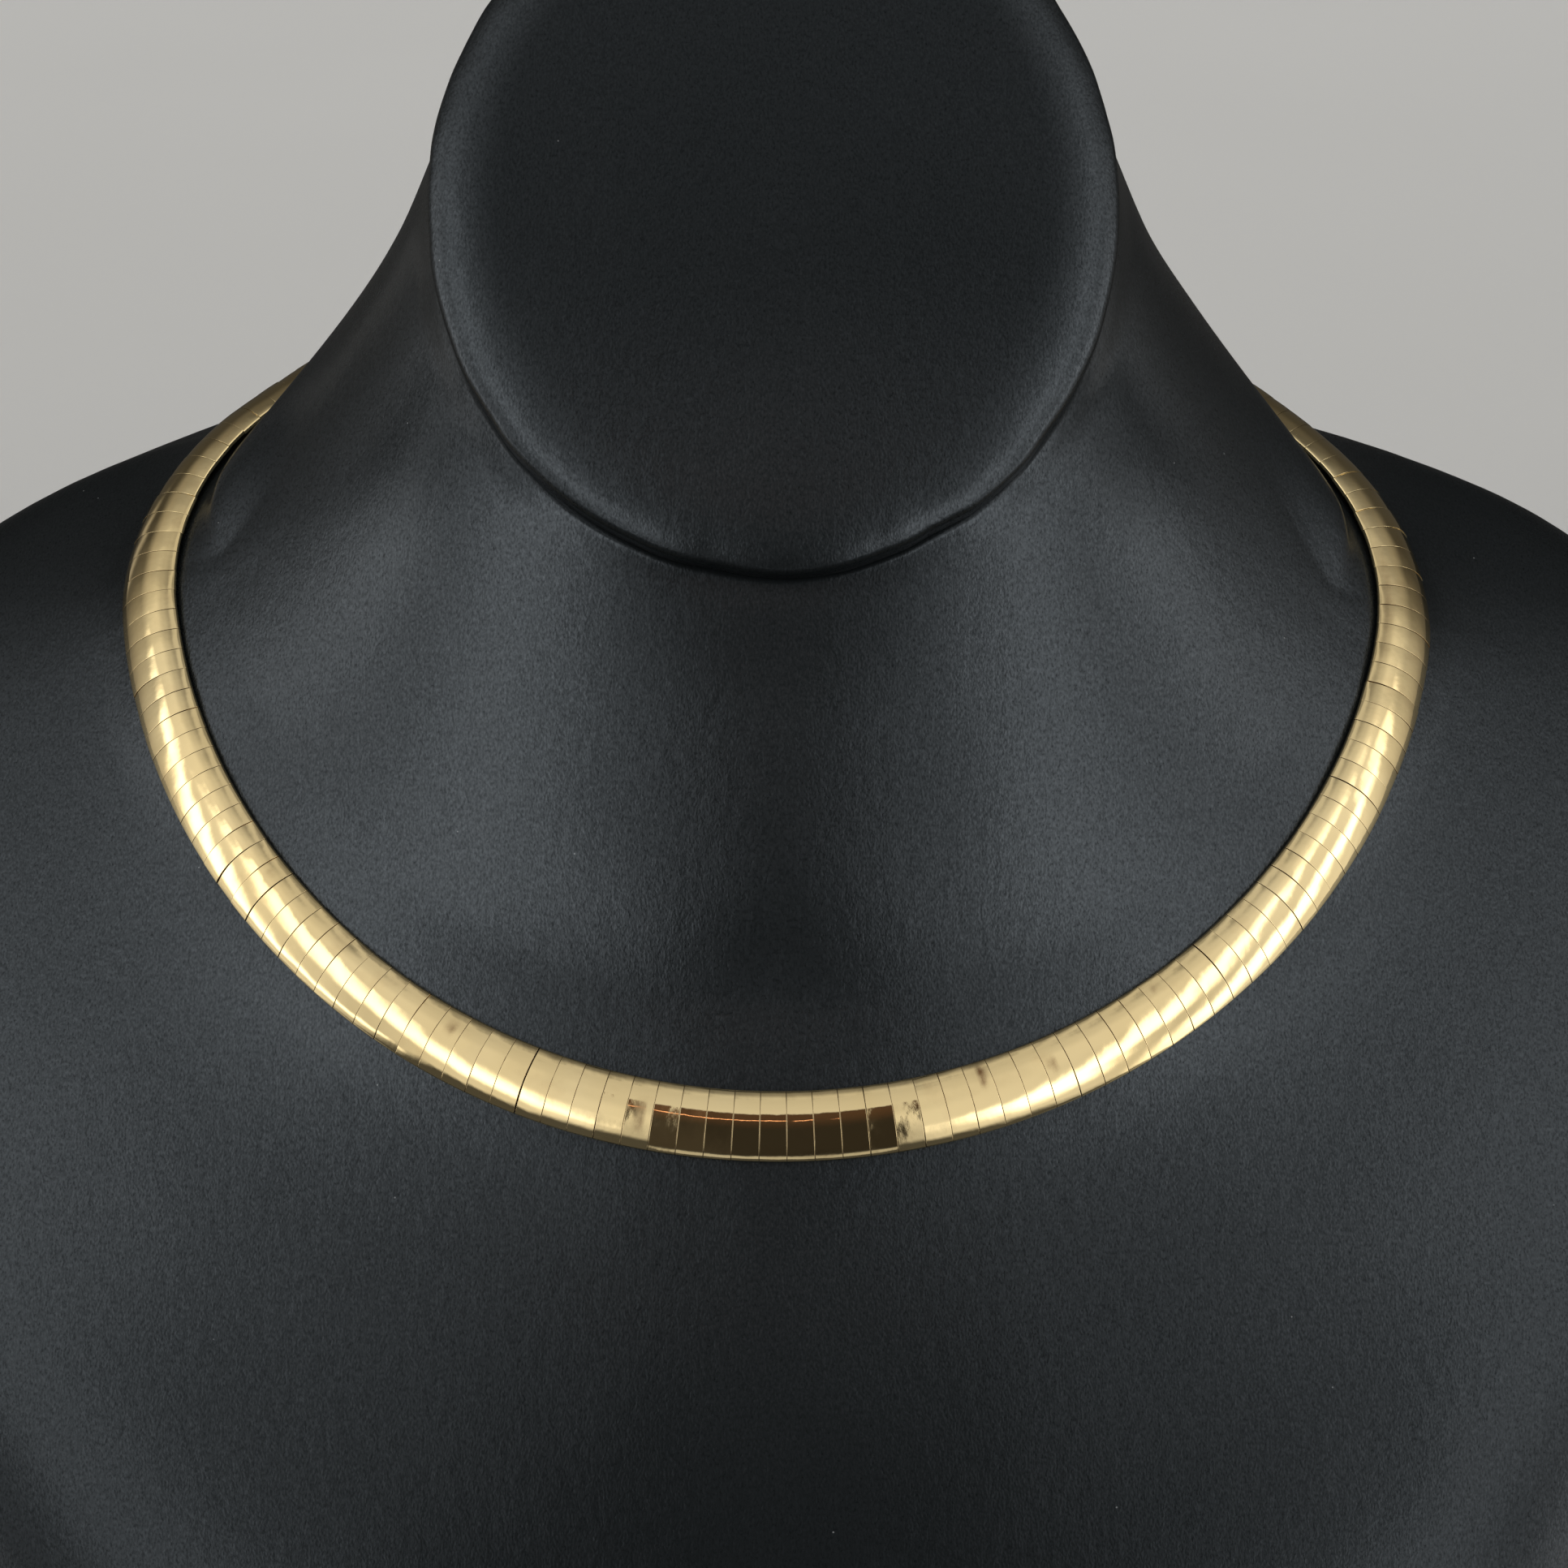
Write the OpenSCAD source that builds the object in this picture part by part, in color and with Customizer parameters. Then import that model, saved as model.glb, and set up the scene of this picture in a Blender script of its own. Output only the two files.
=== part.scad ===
// Omega necklace on a plain neck bust.
// Domed plates sit side by side on a woven strip that runs round a closed
// loop of tangent arcs.  The loop lies on the shoulders of a padded bust whose
// skin is lofted through a short table of sections, three of which follow the
// loop itself so that the necklace lies just clear of the skin.
// Millimetres.  Z is up, -Y is the front, the base stands on Z = 0.

/* [Loop] */
// Radius of the arc across the front of the chest
front_r = 77.5; // [76:0.5:79]
// Turn of half the front arc, degrees
front_turn = 38; // [37:0.5:39]
// Radius of the flatter arcs beside the front
diag_r = 88.5; // [87:0.5:90]
// Turn of each flatter arc, degrees
diag_turn = 41; // [40:0.5:42]
// Radius of the tight arcs over the shoulders
side_r = 35.5; // [35:0.5:37]
// Turn of each shoulder arc, degrees
side_turn = 54; // [53:0.5:55]
// Number of plate pitches round the whole loop, clasp included
pitches = 144; // [140:2:148]
// Plate pitches taken up by the clasp at the nape
clasp_pitches = 6; // [4:2:8]

/* [Band] */
// Width of a plate
band_w = 8.4; // [8:0.1:8.8]
// Height of a plate at the crown of its dome
band_h = 2.1; // [1.9:0.1:2.3]
// Height of a plate's straight edge
edge_h = 0.6; // [0.4:0.1:0.8]
// Open seam between one plate and the next
seam = 0.12; // [0.08:0.02:0.2]
// Depth of the seam below the face of the plates
seam_depth = 0.3; // [0.2:0.05:0.4]
// Width of the channel under the plates
channel_w = 6.4; // [6:0.1:6.6]
// Depth of the channel under the plates
channel_h = 1.1; // [1:0.05:1.2]
// Clearance between the woven strip and its channel
strip_gap = 0.12; // [0.08:0.02:0.2]

/* [Lie of the necklace] */
// Height of the middle of the loop above the base
loop_z = 108; // [107:0.5:109]
// Slope of the loop, front down, degrees
loop_lean = 33; // [32:0.5:34]
// Sideways tilt of the loop, degrees
loop_roll = 1.3; // [0:0.1:2]
// Turn of the loop about the upright, degrees
loop_yaw = -1.2; // [-2:0.1:0]
// Clearance between the band and the skin of the bust
skin_gap = 0.3; // [0.2:0.05:0.6]

/* [Bust] */
// Slope of the oval top panel, degrees
panel_tilt = 50; // [48:0.5:52]
// Half width of the oval top panel
panel_half_w = 42.4; // [41.8:0.1:43]
// Length of the oval top panel up its slope
panel_len = 94.6; // [93:0.1:96]
// Height of the panel's upright rim
panel_wall = 2.4; // [2:0.1:3]
// Radius of the roll between the panel's rim and its face
panel_roll = 1.4; // [1.3:0.1:1.5]
// Points round each section of the bust
around = 76; // [64:4:88]
// Rings of facets between two rows of the section table
rings = 3; // [2:1:3]

/* [Hidden] */

gold = [0.80, 0.66, 0.38];
woven_gold = [0.68, 0.54, 0.28];
black_skin = [0.11, 0.12, 0.13];

// ---- Where the middle of the whole model's outline is, from the loop's ----
middle_y = 16.18;
loop_c = [0, middle_y, loop_z];

// Slope of the band across its width, measured from the plane of the loop:
// [turn from the front in degrees, slope in degrees]
band_slope = [[0, 22], [45, 26], [90, 31], [105, 36], [135, 45], [180, 60]];

// Bust sections, base first.  A body row gives
// [name, front y, front z, back y, back z, half width, waist, front power, back power]
// where y is from the middle of the loop, waist is how far back the widest
// place is (0 front, 1 back) and the powers square the section's outline.
// A band row gives [name, height over the plane of the loop, inset at the nape,
// how far the neck draws in to the band at the sides, as a part of the way].
bust_rows = [
    ["base",    -89,   0,   41,    0,   109,   0.52, 2.9,  4.5],
    ["hem",     -91,   3,   43,    12,  112,   0.52, 2.9,  4.5],
    ["belly",   -91,   9,   43,    40,  117,   0.52, 2.8,  4.2],
    ["bust",    -88.5, 19,  43.5,  81,  122,   0.56, 2.6,  4.0],
    ["chest",   -82,   31.5, 44.5, 111, 123.5, 0.62, 2.35, 3.95],
    ["yoke",    -73.3, 46,  46.5,  123, 113,   0.66, 2.05, 3.3],
    ["band_lo", -5, 12.5, 0],
    ["band",     0, 6, 0],
    ["band_hi",  3.3, 4, 0],
    ["neck_foot", 5.6, 2.6, 0.27],
    ["neck_lo", -40.5, 97.5, 51.5, 161, 59.8,  0.58, 1.95, 2.1],
    ["neck",    -31.5, 113,  50.5, 174, 51.2,  0.56, 2.0,  2.0],
    ["neck_hi", -24.5, 124.5, 47,  188, 45.2,  0.54, 2.0,  2.0]
];
// Front edge of the top panel, y from the middle of the loop
panel_front = [-22, 128.75];
// How far the neck's top stops inside the panel's outline
neck_inset = 1.2;
// Back of the panel up to its rim: [distance in from the outline, height]
panel_back = [[1.1, 0], [0.3, 0.25], [0, 0.9]];
// Slopes round the roll from the rim to the face, degrees
roll_slopes = [90, 68, 50, 36];
// Padded face inside the roll: [distance in from the outline, slope in degrees]
panel_face = [[0.58, 36], [1.2, 31], [1.7, 26], [2.3, 21], [3.1, 16], [4.8, 10], [7.2, 7],
              [10, 4], [14, 2.6], [22, 1.8], [38, 0.5]];

// ---- Route of the loop ------------------------------------------------
// Plane coordinates: x to the right, d to the front.
function dir(a) = [cos(a), sin(a)];
turn_1 = front_turn;
turn_2 = turn_1 + diag_turn;
turn_3 = turn_2 + side_turn;
arc_c0 = -front_r * dir(90);
arc_c1 = arc_c0 + (front_r - diag_r) * dir(90 - turn_1);
arc_c2 = arc_c1 + (diag_r - side_r) * dir(90 - turn_2);
side_end = arc_c2 + side_r * dir(90 - turn_3);
back_r = side_end[0] / cos(90 - turn_3);
arc_c3 = side_end - back_r * dir(90 - turn_3);
half_depth = (back_r - arc_c3[1]) / 2;
centres = [for (c = [arc_c0, arc_c1, arc_c2, arc_c3]) c + [0, half_depth]];
radii = [front_r, diag_r, side_r, back_r];
turns = [0, turn_1, turn_2, turn_3, 180];
run_1 = front_r * turn_1 * PI / 180;
run_2 = run_1 + diag_r * diag_turn * PI / 180;
run_3 = run_2 + side_r * side_turn * PI / 180;
run_4 = run_3 + back_r * (180 - turn_3) * PI / 180;
runs = [0, run_1, run_2, run_3, run_4];
loop_len = 2 * run_4;
pitch = loop_len / pitches;
plates_side = (pitches - clasp_pitches) / 2;

// Which arc a length or a turn from the front falls on
function arc_at(v, ends) = v < ends[1] ? 0 : v < ends[2] ? 1 : v < ends[3] ? 2 : 3;
// Turn from the front at length s along one side
function turn_at(s) = let (k = arc_at(s, runs))
    turns[k] + (s - runs[k]) / radii[k] * 180 / PI;
// Point of the route where its outward normal has turned by t; side is 1 or -1
function route_pt(t, side) = let (k = arc_at(t, turns),
    p = centres[k] + radii[k] * dir(90 - t)) [side * p[0], p[1]];
function route_out(t, side) = [side * sin(t), cos(t)];

// ---- From the plane of the loop to the model ---------------------------
function turn_x(v, a) = [v[0], v[1] * cos(a) - v[2] * sin(a), v[1] * sin(a) + v[2] * cos(a)];
function turn_y(v, a) = [v[0] * cos(a) + v[2] * sin(a), v[1], -v[0] * sin(a) + v[2] * cos(a)];
function turn_z(v, a) = [v[0] * cos(a) - v[1] * sin(a), v[0] * sin(a) + v[1] * cos(a), v[2]];
// p is [x, d] in the plane of the loop, up is the height over it
function lay(p, up) = loop_c + turn_z(turn_y(turn_x([p[0], -p[1], up], loop_lean), loop_roll), loop_yaw);
module laid() {
    translate(loop_c) rotate([loop_lean, loop_roll, loop_yaw]) children();
}

// ---- Small tools ---------------------------------------------------------
function clamp01(x) = min(1, max(0, x));
function ease(x, a, b) = let (u = clamp01((x - a) / (b - a))) u * u * (3 - 2 * u);
function total(v) = v * [for (x = v) 1];
function power(x, n) = sign(x) * pow(abs(x), 2 / n);

// ---- Plates -----------------------------------------------------------------
// Section of a plate: x across the band and outwards, y away from the bust
dome_r = (band_w * band_w / 4 + pow(band_h - edge_h, 2)) / (2 * (band_h - edge_h));
module dome_section(inset, lift) {
    difference() {
        intersection() {
            translate([0, band_h - dome_r]) circle(r = dome_r - inset, $fn = 128);
            translate([-band_w / 2 + inset, lift]) square([band_w - 2 * inset, band_h]);
        }
        translate([-channel_w / 2 - lift, -1]) square([channel_w + 2 * lift, channel_h + 1 + lift]);
    }
}

// A stretch of the band from length s0 to s1, both on one side of the front
module stretch_of_band(s0, s1, inset, lift) {
    side = s0 + s1 < 0 ? -1 : 1;
    mid = abs(s0 + s1) / 2;
    k = arc_at(mid, runs);
    t = turn_at(mid);
    half = (s1 - s0) / 2 / radii[k] * 180 / PI;
    translate([side * centres[k][0], -centres[k][1], 0])
        rotate([0, 0, -(90 - side * t) - half])
            rotate_extrude(angle = 2 * half, $fn = 128)
                translate([radii[k], 0]) rotate(-lookup(t, band_slope))
                    dome_section(inset, lift);
}

// Plates number first to last, joined under their seams along the thread
module plate_run(first, last) {
    color(gold) laid() {
        for (i = [first : last])
            stretch_of_band(i * pitch + seam / 2, (i + 1) * pitch - seam / 2, 0, 0);
        if (last > first)
            for (i = [first + 1 : last])
                stretch_of_band(i * pitch - seam / 2 - 0.3, i * pitch + seam / 2 + 0.3,
                                seam_depth, 0.06);
    }
}

// First plate of each run on the right, counted from the front
run_starts = [9, 25, 41, 57, plates_side];
module plates_front() { plate_run(-run_starts[0], run_starts[0] - 1); }
module plates_front_right() { plate_run(run_starts[0], run_starts[1] - 1); }
module plates_front_left() { plate_run(-run_starts[1], -run_starts[0] - 1); }
module plates_right() { plate_run(run_starts[1], run_starts[2] - 1); }
module plates_left() { plate_run(-run_starts[2], -run_starts[1] - 1); }
module plates_back_right() { plate_run(run_starts[2], run_starts[3] - 1); }
module plates_back_left() { plate_run(-run_starts[3], -run_starts[2] - 1); }
module plates_nape_right() { plate_run(run_starts[3], run_starts[4] - 1); }
module plates_nape_left() { plate_run(-run_starts[4], -run_starts[3] - 1); }

// ---- Woven strip under the plates --------------------------------------------
// One flat tube swept along the route between the clasp's two ends
strip_half = channel_w / 2 - strip_gap;
strip_lo = 0.1;
strip_hi = channel_h - strip_gap;
function strip_ring(s) = let (side = s < 0 ? -1 : 1, t = turn_at(abs(s)),
    b = lookup(t, band_slope), p = route_pt(t, side), o = route_out(t, side))
    [for (c = [[-strip_half, strip_lo], [strip_half, strip_lo],
               [strip_half, strip_hi], [-strip_half, strip_hi]])
        lay(p + (c[0] * cos(b) + c[1] * sin(b)) * o, -c[0] * sin(b) + c[1] * cos(b))];
module mesh_core() {
    end = plates_side * pitch - 0.1;
    stations = [for (i = [-plates_side : plates_side]) max(-end, min(end, i * pitch))];
    pts = [for (s = stations) each strip_ring(s)];
    n = len(stations);
    color(woven_gold) polyhedron(points = pts, faces = [
        for (i = [0 : n - 2], k = [0 : 3]) let (a = i * 4 + k, b = i * 4 + (k + 1) % 4)
            each [[a, b, b + 4], [a, b + 4, a + 4]],
        [3, 2, 1, 0],
        [for (k = [0 : 3]) (n - 1) * 4 + k]
    ], convexity = 8);
}

// ---- Clasp: one plain domed piece with a collar at each end -------------------
clasp_half = clasp_pitches / 2 * pitch - seam / 2;
collar = 1.6;
// A stretch of the clasp, half its turn to each side of a place on the back arc
module clasp_stretch(at, half_len, inset) {
    half = half_len / back_r * 180 / PI;
    translate([0, -centres[3][1], 0]) rotate([0, 0, 90 + at / back_r * 180 / PI - half])
        rotate_extrude(angle = 2 * half, $fn = 128)
            translate([back_r, 0]) rotate(-lookup(180, band_slope)) intersection() {
                translate([0, band_h - dome_r]) circle(r = dome_r - inset, $fn = 128);
                translate([-band_w / 2 + inset, inset / 3]) square([band_w - 2 * inset, band_h]);
            }
}
module clasp() {
    color(gold) laid() {
        clasp_stretch(0, clasp_half - collar / 2, 0.3);
        for (side = [-1, 1]) clasp_stretch(side * (clasp_half - collar / 2), collar / 2, 0);
    }
}

// ---- Bust -----------------------------------------------------------------------
angles = [for (k = [0 : around - 1]) k * 360 / around];
function turn_of(a) = abs((a - 90 + 540) % 360 - 180);
// A body row: two half superellipses that meet at the waist line
function body_row(r) = let (f = [0, r[1] + middle_y, r[2]], b = [0, r[3] + middle_y, r[4]],
    c = f + r[6] * (b - f))
    [for (a = angles) let (s = sin(a), n = s >= 0 ? r[7] : r[8])
        c + [r[5] * power(cos(a), n), 0, 0] + pow(abs(s), 2 / n) * ((s >= 0 ? f : b) - c)];
// A band row: the route itself, moved along the slope of the band and just clear of it
function band_row(r) = [for (a = angles) let (t = turn_of(a), side = cos(a) < 0 ? -1 : 1,
    near = 1 - ease(t, 130, 176), b = lookup(t, band_slope),
    drawn = 1 - r[3] * ease(t, 90, 118) * (1 - ease(t, 150, 176)),
    out = near * drawn * (-r[1] / tan(b) - skin_gap / sin(b)) - (1 - near) * r[2])
    lay(route_pt(t, side) + out * route_out(t, side), r[1])];
// Frame of the top panel: along its slope and out of its face
panel_up = [0, cos(panel_tilt), sin(panel_tilt)];
panel_out = [0, -sin(panel_tilt), cos(panel_tilt)];
panel_edge = [0, panel_front[0] + middle_y, panel_front[1]];
panel_mid = panel_edge + panel_len / 2 * panel_up;
function panel_ring(inset, rise) = [for (a = angles)
    panel_mid + [(panel_half_w - inset) * cos(a), 0, 0]
    - (panel_len / 2 - inset) * sin(a) * panel_up + rise * panel_out];
neck_top = panel_ring(neck_inset, -0.3);

sections = concat([for (r = bust_rows) len(r) == 4 ? band_row(r) : body_row(r)], [neck_top]);
last_row = len(sections) - 1;
spans = [for (i = [0 : last_row - 1])
    total([for (k = [0 : around - 1]) norm(sections[i + 1][k] - sections[i][k])]) / around];
function slope_at(i, k) =
    i == 0 ? (sections[1][k] - sections[0][k]) / spans[0] :
    i == last_row ? (sections[i][k] - sections[i - 1][k]) / spans[i - 1] :
    (sections[i + 1][k] - sections[i - 1][k]) / (spans[i] + spans[i - 1]);
function between(i, k, u) =
    (2 * pow(u, 3) - 3 * u * u + 1) * sections[i][k]
    + (pow(u, 3) - 2 * u * u + u) * spans[i] * slope_at(i, k)
    + (3 * u * u - 2 * pow(u, 3)) * sections[i + 1][k]
    + (pow(u, 3) - u * u) * spans[i] * slope_at(i + 1, k);
skin = concat([sections[0]],
    [for (i = [0 : last_row - 1], j = [1 : rings]) [for (k = [0 : around - 1]) between(i, k, j / rings)]]);

// A closed solid through a stack of rings of the same number of points
module stack(ring_list) {
    n = len(ring_list[0]);
    m = len(ring_list);
    polyhedron(points = [for (r = ring_list) each r], faces = [
        for (i = [0 : m - 2], k = [0 : n - 1])
            let (a = i * n + (k + 1) % n, b = a + n, c = (i + 1) * n + k, d = i * n + k)
            each [[a, b, c], [a, c, d]],
        [for (k = [n - 1 : -1 : 0]) k],
        [for (k = [0 : n - 1]) (m - 1) * n + k]
    ], convexity = 6);
}

module bust_body() { color(black_skin) stack(skin); }

// Padded oval panel: an upright rim, a roll and a face that swells to the middle
function face_rise(i) = panel_wall + panel_roll * cos(panel_face[0][1])
    + total([for (j = [1 : i]) (panel_face[j][0] - panel_face[j - 1][0])
        * tan((panel_face[j][1] + panel_face[j - 1][1]) / 2)]);
module bust_top_panel() {
    back = [for (r = panel_back) panel_ring(r[0], r[1])];
    roll = [for (q = roll_slopes)
        panel_ring(panel_roll * (1 - sin(q)), panel_wall + panel_roll * cos(q))];
    face = [for (i = [1 : len(panel_face) - 1]) panel_ring(panel_face[i][0], face_rise(i))];
    color(black_skin) stack(concat(back, roll, face));
}

bust_body();
bust_top_panel();
mesh_core();
plates_front();
plates_front_right();
plates_front_left();
plates_right();
plates_left();
plates_back_right();
plates_back_left();
plates_nape_right();
plates_nape_left();
clasp();
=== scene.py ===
import math
import bpy
import numpy as np
from mathutils import Matrix, Vector


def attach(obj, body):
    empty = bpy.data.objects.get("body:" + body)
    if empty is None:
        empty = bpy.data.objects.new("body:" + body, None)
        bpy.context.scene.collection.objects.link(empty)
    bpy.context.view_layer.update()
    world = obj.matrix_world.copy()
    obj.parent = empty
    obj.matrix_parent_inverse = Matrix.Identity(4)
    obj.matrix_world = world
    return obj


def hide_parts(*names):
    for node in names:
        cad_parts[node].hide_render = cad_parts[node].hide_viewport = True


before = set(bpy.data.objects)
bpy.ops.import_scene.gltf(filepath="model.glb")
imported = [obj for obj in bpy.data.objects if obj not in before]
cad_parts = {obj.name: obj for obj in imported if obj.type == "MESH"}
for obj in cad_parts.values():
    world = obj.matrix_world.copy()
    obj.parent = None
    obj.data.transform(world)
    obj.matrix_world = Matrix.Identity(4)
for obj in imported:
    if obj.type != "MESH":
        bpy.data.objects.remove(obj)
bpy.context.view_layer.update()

MM = 0.001
rng = np.random.default_rng(11)


# ---------------------------------------------------------------- small tools
def dir2(a):
    return np.array([math.cos(math.radians(a)), math.sin(math.radians(a))])


def smooth(x, a, b):
    u = np.clip((x - a) / (b - a), 0, 1)
    return u * u * (3 - 2 * u)


def new_mesh(name, verts, quads, mats, body="root", node=None, flat=None, uv=None, attr=None):
    """verts in millimetres; quads is an (n, 4) array, a triangle repeats its last corner as -1."""
    me = bpy.data.meshes.new(name)
    faces = [tuple(int(k) for k in f if k >= 0) for f in quads]
    me.from_pydata([tuple(map(float, v)) for v in np.asarray(verts) * MM], [], faces)
    sm = np.ones(len(faces), bool)
    if flat is not None:
        sm[flat] = False
    me.polygons.foreach_set("use_smooth", sm)
    if uv is not None:
        lay = me.uv_layers.new(name="UVMap")
        idx = np.empty(len(me.loops), np.int32)
        me.loops.foreach_get("vertex_index", idx)
        lay.data.foreach_set("uv", np.asarray(uv, np.float32)[idx].ravel())
    if attr:
        for key, val in attr.items():
            a = me.attributes.new(key, "FLOAT", "POINT")
            a.data.foreach_set("value", np.asarray(val, np.float32))
    me.validate()
    ob = bpy.data.objects.new(name, me)
    bpy.context.scene.collection.objects.link(ob)
    for m in mats if isinstance(mats, (list, tuple)) else [mats]:
        me.materials.append(m)
    if body:
        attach(ob, body)
    if node:
        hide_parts(*(node if isinstance(node, (list, tuple)) else [node]))
    return ob


def grid_quads(rows, cols, wrap):
    i, k = np.meshgrid(np.arange(rows - 1), np.arange(cols if wrap else cols - 1), indexing="ij")
    k2 = (k + 1) % cols
    return np.stack([i * cols + k, i * cols + k2, (i + 1) * cols + k2, (i + 1) * cols + k], -1).reshape(-1, 4)


def lattice_noise(p, scale, seed):
    """Smooth value noise in 3D, about -1 to 1, for points in millimetres."""
    g = np.random.default_rng(seed).uniform(-1, 1, (32, 32, 32))
    q = np.asarray(p) / scale + 100.0
    i = np.floor(q).astype(int)
    f = q - i
    f = f * f * (3 - 2 * f)
    out = 0
    for dx in (0, 1):
        for dy in (0, 1):
            for dz in (0, 1):
                w = (f[..., 0] if dx else 1 - f[..., 0]) * (f[..., 1] if dy else 1 - f[..., 1]) * (f[..., 2] if dz else 1 - f[..., 2])
                out = out + w * g[(i[..., 0] + dx) % 32, (i[..., 1] + dy) % 32, (i[..., 2] + dz) % 32]
    return out


# ---------------------------------------------------------------- the route, as in the part's source
FRONT_R, DIAG_R, SIDE_R = 77.5, 88.5, 35.5
T1, T2, T3 = 38.0, 79.0, 133.0
PITCHES, CLASP_PITCHES = 144, 6
BAND_W, BAND_H, EDGE_H = 8.4, 2.1, 0.6
CH_W, CH_H = 6.4, 1.1
MIDDLE_Y, LOOP_Z = 16.18, 108.0
LEAN, ROLL, YAW = 33.0, 1.3, -1.2
SKIN_GAP = 0.3

c0 = -FRONT_R * dir2(90)
c1 = c0 + (FRONT_R - DIAG_R) * dir2(90 - T1)
c2 = c1 + (DIAG_R - SIDE_R) * dir2(90 - T2)
side_end = c2 + SIDE_R * dir2(90 - T3)
BACK_R = side_end[0] / math.cos(math.radians(90 - T3))
c3 = side_end - BACK_R * dir2(90 - T3)
half_depth = (BACK_R - c3[1]) / 2
CEN = np.array([c0, c1, c2, c3]) + [0, half_depth]
RAD = np.array([FRONT_R, DIAG_R, SIDE_R, BACK_R])
TURNS = np.array([0, T1, T2, T3, 180.0])
RUNS = np.concatenate([[0], np.cumsum(RAD * np.radians(np.diff(TURNS)))])
LOOP = 2 * RUNS[4]
PITCH = LOOP / PITCHES
SIDE_PLATES = (PITCHES - CLASP_PITCHES) // 2


def turn_at(s):
    s = np.abs(s)
    k = np.clip(np.searchsorted(RUNS, s, side="right") - 1, 0, 3)
    return TURNS[k] + np.degrees((s - RUNS[k]) / RAD[k])


def slope(t):
    return np.interp(t, [0, 45, 90, 105, 135, 180], [22, 26, 31, 36, 45, 60])


def route_pt(t, side):
    k = np.clip(np.searchsorted(TURNS, t, side="right") - 1, 0, 3)
    a = np.radians(90 - t)
    p = CEN[k] + RAD[k][..., None] * np.stack([np.cos(a), np.sin(a)], -1)
    return p * np.stack([side * np.ones_like(t), np.ones_like(t)], -1)


def route_out(t, side):
    return np.stack([side * np.sin(np.radians(t)), np.cos(np.radians(t))], -1)


def _rot(axis, deg):
    c, s = math.cos(math.radians(deg)), math.sin(math.radians(deg))
    return np.array({"x": [[1, 0, 0], [0, c, -s], [0, s, c]], "y": [[c, 0, s], [0, 1, 0], [-s, 0, c]], "z": [[c, -s, 0], [s, c, 0], [0, 0, 1]]}[axis])


LIE = _rot("z", YAW) @ _rot("y", ROLL) @ _rot("x", LEAN)
LOOP_C = np.array([0, MIDDLE_Y, LOOP_Z])


def lay(p, up):
    v = np.stack([p[..., 0], -p[..., 1], up * np.ones_like(p[..., 0])], -1)
    return LOOP_C + v @ LIE.T


def band(s, u, v):
    """Point on the band: s along the thread from the front, u across and outwards, v off the bust."""
    s, u, v = np.broadcast_arrays(np.asarray(s, float), u, v)
    side = np.where(s < 0, -1.0, 1.0)
    t = turn_at(s)
    b = np.radians(slope(t))
    p = route_pt(t, side) + (u * np.cos(b) + v * np.sin(b))[..., None] * route_out(t, side)
    return lay(p, -u * np.sin(b) + v * np.cos(b))


# ---------------------------------------------------------------- camera
cam_data = bpy.data.cameras.new("camera")
cam_data.sensor_width = 36.0
cam_data.lens = 4500 / 1932 * 36
cam_data.clip_start = 0.01
cam_data.clip_end = 50
cam = bpy.data.objects.new("camera", cam_data)
cam.location = (1.3 * MM, (-424.98 + MIDDLE_Y) * MM, 302.16 * MM)
cam.rotation_euler = (math.radians(63.5), 0, 0)
bpy.context.scene.collection.objects.link(cam)
bpy.context.scene.camera = cam


# ---------------------------------------------------------------- materials
class Tree:
    """A thin helper for building a node tree."""

    def __init__(self, tree):
        self.t = tree
        self.t.nodes.clear()
    def n(self, kind, **kw):
        node = self.t.nodes.new(kind)
        for k, v in kw.items():
            if k == "inputs":
                for key, val in v.items():
                    if isinstance(val, bpy.types.NodeSocket):
                        self.t.links.new(val, node.inputs[key])
                    else:
                        node.inputs[key].default_value = val
            else:
                setattr(node, k, v)
        return node

    def math(self, op, a, b=0.0, c=0.0, clamp=False):
        return self.n("ShaderNodeMath", operation=op, use_clamp=clamp, inputs={0: a, 1: b, 2: c}).outputs[0]

    def ramp(self, fac, stops, mode="LINEAR"):
        r = self.n("ShaderNodeValToRGB", inputs={0: fac})
        r.color_ramp.interpolation = mode
        el = r.color_ramp.elements
        while len(el) < len(stops):
            el.new(0.5)
        for e, (pos, col) in zip(el, stops):
            e.position = pos
            e.color = col if len(col) == 4 else (*col, 1)
        return r.outputs[0]

    def mix(self, fac, a, b, blend="MIX"):
        m = self.n("ShaderNodeMix", data_type="RGBA", blend_type=blend)
        for key, val in ((0, fac), (6, a), (7, b)):
            if isinstance(val, bpy.types.NodeSocket):
                self.t.links.new(val, m.inputs[key])
            else:
                m.inputs[key].default_value = val if not isinstance(val, tuple) or len(val) == 4 else (*val, 1)
        return m.outputs[2]



class Nodes(Tree):
    """A material with one principled shader."""

    def __init__(self, name):
        self.mat = bpy.data.materials.new(name)
        self.mat.use_nodes = True
        super().__init__(self.mat.node_tree)
        self.out = self.t.nodes.new("ShaderNodeOutputMaterial")
        self.b = self.t.nodes.new("ShaderNodeBsdfPrincipled")
        self.t.links.new(self.b.outputs[0], self.out.inputs[0])

    def link(self, a, b):
        self.t.links.new(a, self.b.inputs[b] if isinstance(b, str) else b)


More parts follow.
